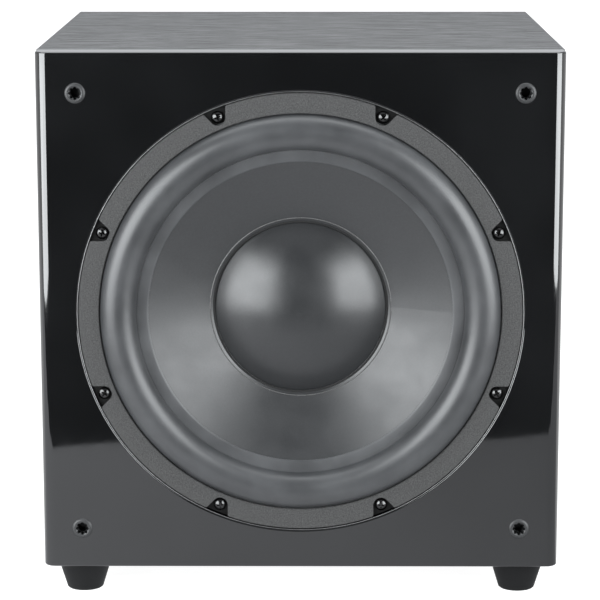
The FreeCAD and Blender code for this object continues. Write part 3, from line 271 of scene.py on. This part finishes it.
def dress_nodes():
    """Gives every CAD node its material."""
    across, up = vinyl_wrap("black_ash_across", 0), vinyl_wrap("black_ash_up", 2)
    steel = metal("plated_steel", grey(0.5), 0.35)
    zinc = metal("zinc_steel", grey(0.55, 0.04), 0.38)
    black_screw = metal("black_screws", grey(0.06), 0.2)
    contact = metal("tinned", grey(0.7), 0.22)
    plastic = moulded("black_plastic", grey(0.02), 0.42)
    feet = moulded("foot_rubber", cool(0.004), 0.62, Specular_IOR_Level=0.18)
    foam = soft_rubber("seal_foam", 0.03, 0.9)
    ferrite = painted("ferrite", 0.05, 0.6)
    bare = metal("bare_aluminium", grey(0.75), 0.3)
    looks = {
        lacquer(): ["front_baffle"],
        across: ["top_panel", "bottom_panel", "rear_panel"],
        up: ["left_panel", "right_panel"],
        board(): ["window_brace"],
        feet: ["foot_front_left", "foot_front_right", "foot_rear_left", "foot_rear_right"],
        zinc: ["foot_screws", "tee_nuts"],
        black_screw: ["driver_screws", "amp_screws"],
        soft_rubber("socket_rubber", 0.012, 0.45): ["grille_sockets"],
        trim_rubber(): ["trim_ring"],
        cone_sheet("cone_coat", 0.016, 0.355): ["cone"],
        cone_sheet("cap_coat", 0.015, 0.31): ["dust_cap"],
        painted("basket_paint", 0.003, 0.6, Specular_IOR_Level=0.15): ["basket"],
        foam: ["driver_seal", "amp_seal"],
        metal("former_foil", grey(0.7), 0.3): ["voice_coil_former"],
        metal("coil_wire", (0.72, 0.3, 0.12), 0.3, 0.0001): ["voice_coil_winding"],
        steel: ["top_plate", "pole_yoke", "pot_cans", "toggle_bodies"],
        ferrite: ["magnet_ring_front", "magnet_ring_rear"],
        moulded("phenolic", (0.2, 0.1, 0.04), 0.5): ["terminal_board"],
        contact: ["terminal_lugs", "inlet_blades"],
        moulded("lead_jacket", (0.2, 0.012, 0.012), 0.4): ["speaker_leads"],
        painted("amp_black", 0.018, 0.42): ["amp_plate"],
        plastic: ["amp_box", "lead_gland", "rocker_frame", "mains_inlet", "fuse_drawer"],
        circuit(): ["main_board"],
        metal("post_brass", (0.7, 0.5, 0.2), 0.3): ["board_posts"],
        metal("core_iron", grey(0.25), 0.45): ["transformer"],
        moulded("can_sleeve", (0.02, 0.03, 0.09), 0.25): ["supply_capacitors"],
        bare: ["heat_spreader", "level_shaft", "crossover_shaft"],
        moulded("knob_plastic", grey(0.022), 0.38): ["level_knob", "crossover_knob"],
        metal("lever_chrome", grey(0.8), 0.12): ["phase_lever", "standby_lever"],
        moulded("rocker_plastic", grey(0.015), 0.22): ["power_rocker"],
        glass(): ["fuse_cartridge"],
        metal("jack_gold", (0.85, 0.62, 0.25), 0.2): ["phono_metal"],
        moulded("jack_white", grey(0.6), 0.4): ["phono_insulators"],
        lamp(): ["status_lamp"],
    }
    for finish, names in looks.items():
        for name in names:
            for place in NODES[name].material_slots:
                place.material = finish.material


# ---------------------------------------------------------------- mesh helpers


def add_piece(name, mesh, finish, body):
    """Links a mesh as a piece that rides on a body. A piece with no body is left unattached."""
    piece = bpy.data.objects.new(name, mesh)
    bpy.context.scene.collection.objects.link(piece)
    mesh.materials.clear()
    mesh.materials.append(finish.material)
    if body:
        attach(piece, body)
    return piece


def arc(middle, radius, first, last, count):
    """Points (radius, depth) on an arc about middle. Angles in degrees, from outward to rearward."""
    for angle in np.linspace(math.radians(first), math.radians(last), count):
        yield middle[0] + radius * math.cos(angle), middle[1] + radius * math.sin(angle)


def turned_mesh(name, outline, around=288):
    """A closed outline of (radius, depth behind the baffle) in mm, turned about the woofer's axis."""
    mesh = bpy.data.meshes.new(name)
    shape = bmesh.new()
    rings = []
    for i in range(around):
        angle = 2 * math.pi * i / around
        c, s = math.cos(angle) * MM, math.sin(angle) * MM
        rings.append([shape.verts.new((r * c, FRONT + d * MM, AXIS_Z + r * s)) for r, d in outline])
    count = len(outline)
    for i in range(around):
        here, after = rings[i], rings[(i + 1) % around]
        for k in range(count):
            n = (k + 1) % count
            shape.faces.new((here[k], here[n], after[n], after[k]))
    bmesh.ops.recalc_face_normals(shape, faces=shape.faces)
    shape.to_mesh(mesh)
    shape.free()
    mesh.polygons.foreach_set("use_smooth", [True] * len(mesh.polygons))
    mesh.set_sharp_from_angle(angle=math.radians(35))
    return mesh


def bend_radially(piece):
    """Bakes a piece's placement into its mesh; it is not blended between the cabinet and the cone
    here.
    """
    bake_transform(piece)


# ---------------------------------------------------------------- pieces


def make_surround():
    """Half-roll surround: flange under the trim ring, roll, and the lip glued on the cone."""
    middle, roll, skin = (127.7, 7.31), 13.3, 1.0
    tilt_in, tilt_out = 193.0, 341.0
    lip_edge = 114.4
    low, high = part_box("surround")
    flange = (high[0] - low[0]) / 2 / MM
    outer = list(arc(middle, roll, tilt_in, tilt_out, 44))
    inner = list(arc(middle, roll - skin, tilt_out - 3, tilt_in - 4, 44))
    lip = [(106.4, 6.3), (106.8, 5.9), (107.6, 5.6), (113.6, 4.3)]
    outline = [*lip, *outer, (flange, 3.0), (flange, 4.0), *inner, (106.4, 6.5)]
    mesh = turned_mesh("surround_roll", outline)
    rubber = soft_rubber("roll_rubber", 0.028, 0.38)
    piece = add_piece("surround_roll", mesh, rubber, None)
    # Painted light: the lip gets a slightly lighter, rougher copy of the rubber, so the flat band
    # shows brighter than the roll.
    mesh.materials.append(soft_rubber("lip_rubber_painted_lighter", 0.03, 0.42).material)
    for face in mesh.polygons:
        radius = math.hypot(face.center.x, face.center.z - AXIS_Z)
        face.material_index = int(radius < lip_edge * MM)
    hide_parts("surround")
    bend_radially(piece)


def make_spider():
    """Corrugated cloth disc."""
    low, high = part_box("spider")
    deep = ((low[1] + high[1]) / 2 - FRONT) / MM
    rim, collar, waves, skin = 74.6, 32.3, 6, 0.6
    wave = (rim - collar - 2.4) / (2 * waves)
    steps = np.linspace(0, 2 * math.pi * waves, waves * 20)
    ridge = [(rim - s * wave / math.pi, -math.sin(s) * wave * 0.95) for s in steps]
    front = [(84.0, -skin / 2), *((r, y - skin / 2) for r, y in ridge), (collar, -skin / 2)]
    outline = [(r, deep + y) for r, y in front] + [(r, deep + y + skin) for r, y in reversed(front)]
    mesh = turned_mesh("spider_disc", outline, 192)
    weave = cloth("spider_cloth", (0.5, 0.33, 0.08), 120.0)
    piece = add_piece("spider_disc", mesh, weave, None)
    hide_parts("spider")
    bend_radially(piece)


def make_glue_bead_and_gap_shade():
    """Shiny line of adhesive round the dust cap's flange, and a near-black ring inside it: painted
    shade for the shadow in the gap between cap and cone.
    """
    low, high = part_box("dust_cap")
    edge = (high[0] - low[0]) / 2 / MM
    deep = (high[1] - FRONT) / MM - 1.9
    bead_r, shade_ring_r, shade_ring_in, shade_ring_down = 0.55, 0.75, 2.6, 0.3
    outline = list(arc((edge, deep), bead_r, 0, 330, 12))
    m = Finish("glue_line", grey(0.07), 0.25)
    m.roughens(m.noise(120.0), 0.18, 0.36)
    add_piece("cap_glue_bead", turned_mesh("cap_glue_bead", outline), m, MOVING)
    # Painted shade: a near-black, matt ring that stands in for the shadow in the gap between the dust
    # cap and the cone.
    shade_finish = soft_rubber("painted_gap_shade", 0.002, 0.9)
    shade_ring = list(arc((edge - shade_ring_in, deep + shade_ring_down), shade_ring_r, 0, 330, 12))
    add_piece("cap_painted_shade", turned_mesh("cap_painted_shade", shade_ring), shade_finish, MOVING)


def make_rebate_lip():
    """Thin satin lip of the gasket, seen in the gap between the trim ring and the baffle."""
    low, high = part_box("trim_ring")
    ring = (high[0] - low[0]) / 2 / MM
    gap_middle, deep, lip_r = 0.75, 0.75, 0.32
    lip = list(arc((ring + gap_middle, deep), lip_r, 0, 330, 12))
    m = metal("rebate_lip", grey(0.22), 0.42)
    add_piece("rebate_lip", turned_mesh("rebate_lip", lip, 360), m, CABINET)


def make_braids():
    """Braided leads that flex between the terminals and the cone."""
    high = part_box("tinsel_leads")[1]
    start_y, fold_y = high[1], FRONT + 36.0 * MM
    top, foot = high[2] - 1.0 * MM, AXIS_Z + 50.0 * MM
    finish = metal("lead_braid", (0.62, 0.36, 0.24), 0.35, 0.00005)
    braids = []
    for side in (-1, 1):
        x = side * 9.0 * MM
        points = [
            (x, start_y, top),
            (x, start_y - 9 * MM, top),
            (x, fold_y + 1 * MM, top),
            (x, fold_y + 3.5 * MM, top - 13 * MM),
            (side * 9.5 * MM, FRONT + 44 * MM, AXIS_Z + 78 * MM),
            (side * 9.8 * MM, FRONT + 40 * MM, AXIS_Z + 62 * MM),
            (side * 10.0 * MM, FRONT + 35.2 * MM, foot),
        ]
        curve = bpy.data.curves.new("braid", "CURVE")
        curve.dimensions = "3D"
        spline = curve.splines.new("NURBS")
        spline.points.add(len(points) - 1)
        for point, spot in zip(spline.points, points):
            point.co = (*spot, 1.0)
        spline.order_u = 3
        spline.use_endpoint_u = True
        curve.bevel_depth = 1.0 * MM
        curve.bevel_resolution = 4
        curve.use_fill_caps = True
        braids.append(bpy.data.objects.new("braid", curve))
    shape = bmesh.new()
    for braid in braids:
        shape.from_mesh(bpy.data.meshes.new_from_object(braid))
        bpy.data.objects.remove(braid)
    mesh = bpy.data.meshes.new("cone_braids")
    shape.to_mesh(mesh)
    shape.free()
    piece = add_piece("cone_braids", mesh, finish, None)
    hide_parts("tinsel_leads")
    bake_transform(piece)


def pad_mesh(name, low, high, seed):
    """A crowned, lumpy pad of fibre between two corners, flat on the side that lies on the wall."""
    mesh = bpy.data.meshes.new(name)
    shape = bmesh.new()
    bmesh.ops.create_cube(shape, size=2.0)
    bmesh.ops.subdivide_edges(shape, edges=shape.edges, cuts=23, use_grid_fill=True)
    middle, half = (Vector(low) + Vector(high)) / 2, (Vector(high) - Vector(low)) / 2
    thin = min(range(3), key=lambda i: half[i])
    inward = -1 if middle[thin] > (AXIS_Z if thin == 2 else 0) else 1
    flat = [i for i in range(3) if i != thin]
    for vert in shape.verts:
        edge = max(abs(vert.co[i]) for i in flat)
        lump = noise.noise(Vector((vert.co[flat[0]], vert.co[flat[1]], seed)) * 4.5)
        if vert.co[thin] * inward > -0.99:
            crown = 1.0 - 0.42 * edge**6 - 0.12 * (0.5 + lump)
            vert.co[thin] = -inward + (vert.co[thin] + inward) * crown
        pull = 1.0 - 0.02 * (1 + lump) - (0.012 if vert.co[thin] * inward > 0 else 0.0)
        for i in flat:
            vert.co[i] *= pull
        vert.co = Vector(middle[i] + vert.co[i] * half[i] for i in range(3))
    shape.to_mesh(mesh)
    shape.free()
    mesh.polygons.foreach_set("use_smooth", [True] * len(mesh.polygons))
    return mesh


def make_lining():
    """Fibre pads that line the cabinet's walls, ahead of the brace and behind it."""
    low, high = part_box("fibre_lining")
    thick, half = 20 * MM, 115 * MM
    brace_low, brace_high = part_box("window_brace")
    finish = fibre_mat()
    reaches = (("front", low[1], brace_low[1] - 4 * MM), ("rear", brace_high[1] + 3 * MM, high[1]))
    walls = {
        "left": ((low[0], AXIS_Z - half), (low[0] + thick, AXIS_Z + half)),
        "right": ((high[0] - thick, AXIS_Z - half), (high[0], AXIS_Z + half)),
        "bottom": ((-half, low[2]), (half, low[2] + thick)),
        "top": ((-half, high[2] - thick), (half, high[2])),
    }
    for end, first, last in reaches:
        for seed, (wall, (a, b)) in enumerate(walls.items()):
            name = f"lining_{wall}_{end}"
            mesh = pad_mesh(name, (a[0], first, a[1]), (b[0], last, b[1]), seed + first)
            piece = add_piece(name, mesh, finish, CABINET)
            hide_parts("fibre_lining")


def box_faces(shape, middle, along, across, length, width, height):
    """Adds one small raised bar to a mesh, its top edges drawn in a little."""
    out = Vector((0, 1, 0))
    base, top = [], []
    for a, b in ((-1, -1), (1, -1), (1, 1), (-1, 1)):
        end, side = along * a * length, across * b * width
        base.append(shape.verts.new(middle + end / 2 + side / 2))
        top.append(shape.verts.new(middle + end * 0.46 + side * 0.42 + out * height))
    shape.faces.new(top)
    shape.faces.new(base[::-1])
    for i in range(4):
        n = (i + 1) % 4
        shape.faces.new((base[i], base[n], top[n], top[i]))


def bars_piece(name, bars, finish, body):
    """A piece made of raised bars: each is (middle, direction, length, width, height)."""
    shape = bmesh.new()
    for middle, along, length, width, height in bars:
        along = Vector(along).normalized()
        across = along.cross(Vector((0, 1, 0)))
        box_faces(shape, Vector(middle), along, across, length, width, height)
    bmesh.ops.recalc_face_normals(shape, faces=shape.faces)
    mesh = bpy.data.meshes.new(name)
    shape.to_mesh(mesh)
    shape.free()
    return add_piece(name, mesh, finish, body)


def make_marks():
    """Printed ticks round the knobs and switches, and the knobs' pointer lines."""
    ink = moulded("white_ink", grey(0.62), 0.5)
    ticks = []
    face, thin = PLATE_BACK, 0.06 * MM
    knob_ticks, first_turn, tick_turn, tick_ring = 11, -150, 30, 13.6 * MM
    switch_up, switch_reach = 52 * MM, 10.5 * MM
    for name in ("level", "crossover"):
        low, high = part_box(f"{name}_knob")
        x, z = (low[0] + high[0]) / 2, (low[2] + high[2]) / 2
        for i in range(knob_ticks):
            angle = math.radians(first_turn + tick_turn * i)
            way = Vector((math.sin(angle), 0, math.cos(angle)))
            long = (3.2 if i % 5 == 0 else 2.0) * MM
            middle = Vector((x, face, z)) + way * (tick_ring + long / 2)
            ticks.append((middle, way, long, 0.7 * MM, thin))
        top = high[1] - 0.62 * MM
        line = ((x, top, z + 5 * MM), (0, 0, 1), 5.8 * MM, 0.9 * MM, 0.5 * MM)
        bars_piece(f"{name}_pointer", [line], ink, f"{name}_control")
    for name in ("phase", "standby"):
        low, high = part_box(f"{name}_lever")
        x, z = (low[0] + high[0]) / 2, AXIS_Z + switch_up
        for up in (-switch_reach, switch_reach):
            ticks.append(((x, face, z + up), (1, 0, 0), 4.0 * MM, 0.7 * MM, thin))
    bars_piece("plate_marks", ticks, ink, CABINET)


# ---------------------------------------------------------------- studio


def unseen_sheet(name, corners, faces, finish):
    """A staged sheet that the camera doesn't see."""
    mesh = bpy.data.meshes.new(name)
    mesh.from_pydata(corners, [], faces)
    sheet = bpy.data.objects.new(name, mesh)
    bpy.context.scene.collection.objects.link(sheet)
    mesh.materials.append(finish.material)
    sheet.visible_camera = sheet.visible_transmission = False
    return sheet


def table_glow():
    """The table's own glow, a little weaker towards the right."""
    black, pale = (0.0, 0.0, 0.0), (0.97, 0.99, 1.03, 1)
    m = Finish("table_glow", black, 1.0, Specular_IOR_Level=0.0, Emission_Color=pale)
    split = m.tree.nodes.new("ShaderNodeSeparateXYZ")
    m.tree.links.new(m.spot, split.inputs["Vector"])
    fade = m.remap(split.outputs["X"], (-0.25, 0.25), GLOW)
    m.tree.links.new(fade, m.shader.inputs["Emission Strength"])
    return m


def make_ground(black):
    """The table's front part, and the unlit floor beyond its gently waved edge."""
    far, back, low = FRONT - 4.0, FRONT + 0.05, 0.001
    table, slant, wave, wave_rate = 0.45, 0.1, 0.012, 30
    edge = []
    for x in np.linspace(1.5, -1.5, 181):
        reach = table + slant * x + wave * math.sin(wave_rate * x)
        edge.append((x, FRONT - reach, low))
    grounds = (
        ("dark_ground", [*edge, (-2.5, far, low), (2.5, far, low)], black),
        ("table_front", [*edge, (-1.5, back, low), (1.5, back, low)], table_glow()),
    )
    for name, corners, finish in grounds:
        ground = unseen_sheet(name, corners, [tuple(range(len(corners)))], finish)
        ground.visible_diffuse = ground.visible_shadow = False


def make_wall(black):
    """The room's unlit far wall: part of a sphere about the front of the object."""
    columns, rows, reach = 24, 8, 4.0
    corners = []
    for row in range(rows + 1):
        rise = math.radians(WALL_TOP * row / rows)
        flat, up = reach * math.cos(rise), reach * math.sin(rise)
        for column in range(columns + 1):
            turn = math.radians(-WALL_SIDE + 2 * WALL_SIDE * column / columns)
            corners.append((flat * math.sin(turn), FRONT - flat * math.cos(turn), up))
    faces = []
    for row in range(rows):
        for column in range(columns):
            first = row * (columns + 1) + column
            faces.append((first, first + 1, first + columns + 2, first + columns + 1))
    unseen_sheet("dark_wall", corners, faces, black)


def make_dark_room():
    """What the object's front reflects: a table, and a dark floor and wall beyond it."""
    black = Finish("dark_cloth", (0.002, 0.002, 0.002), 1.0, Specular_IOR_Level=0.0)
    make_ground(black)
    make_wall(black)


def softbox(name, place, target, size, energy):
    """A soft rectangular light that the camera doesn't see."""
    lamp_data = bpy.data.lights.new(name, "AREA")
    lamp_data.shape = "RECTANGLE"
    lamp_data.size, lamp_data.size_y = size
    lamp_data.energy = energy
    lamp_data.color = (0.95, 0.98, 1.0)
    light = bpy.data.objects.new(name, lamp_data)
    bpy.context.scene.collection.objects.link(light)
    light.location = place
    light.rotation_euler = (target - place).to_track_quat("-Z", "Y").to_euler()
    light.visible_camera = False


def make_room_light():
    """An even pale sky."""
    world = bpy.data.worlds.new("studio")
    bpy.context.scene.world = world
    world.use_nodes = True
    sky = world.node_tree.nodes["Background"]
    sky.inputs["Color"].default_value = (0.96, 0.985, 1.02, 1.0)
    sky.inputs["Strength"].default_value = 0.85
    bpy.context.scene.view_settings.view_transform = "Standard"


def make_floor():
    """Pale glowing floor that fills the background."""
    shape = bmesh.new()
    bmesh.ops.create_circle(shape, cap_ends=True, segments=96, radius=14.0)
    mesh = bpy.data.meshes.new("floor")
    shape.to_mesh(mesh)
    shape.free()
    floor = bpy.data.objects.new("floor", mesh)
    bpy.context.scene.collection.objects.link(floor)
    glow = {"Emission_Color": (1, 1, 1, 1), "Emission_Strength": 0.93}
    paper = Finish("paper", (0.3, 0.3, 0.3), 0.9, **glow)
    paper.colours(paper.noise(6.0), (0.29, 0.29, 0.29), (0.32, 0.32, 0.32))
    mesh.materials.append(paper.material)


def make_lights():
    """Two tall panels ahead of the object, and two lights above it."""
    front = Vector((0, FRONT, AXIS_Z))
    softbox("left_panel_light", front + Vector((-0.88, -0.75, 0.2)), front, (1.05, 1.02), 37.0)
    softbox("right_panel_light", front + Vector((0.93, -0.68, 0.25)), front, (0.98, 0.9), 28.5)
    softbox("overhead", Vector((0, 0.9, 2.0)), Vector((0, 0, 0.2)), (2.4, 1.6), 30.0)
    softbox("overhead_front", Vector((0, FRONT - 0.1, 1.9)), front, (2.2, 0.6), 24.0)


def make_camera():
    """A long lens, a little above the object and looking down at it."""
    lens = bpy.data.cameras.new("camera")
    lens.lens, lens.sensor_width = 151.03, 36.0
    camera = bpy.data.objects.new("camera", lens)
    bpy.context.scene.collection.objects.link(camera)
    aside, away, above, look_down = 0.0104, 1.7204, 0.3444, 10.99
    camera.location = (aside, FRONT - away, AXIS_Z + above)
    tilt = (90 - look_down, 0.03, 0.35)
    camera.rotation_euler = tuple(math.radians(angle) for angle in tilt)
    bpy.context.scene.camera = camera


dress_nodes()
make_surround()
make_spider()
make_glue_bead_and_gap_shade()
make_rebate_lip()
make_braids()
make_lining()
make_marks()
make_room_light()
make_floor()
make_dark_room()
make_lights()
make_camera()
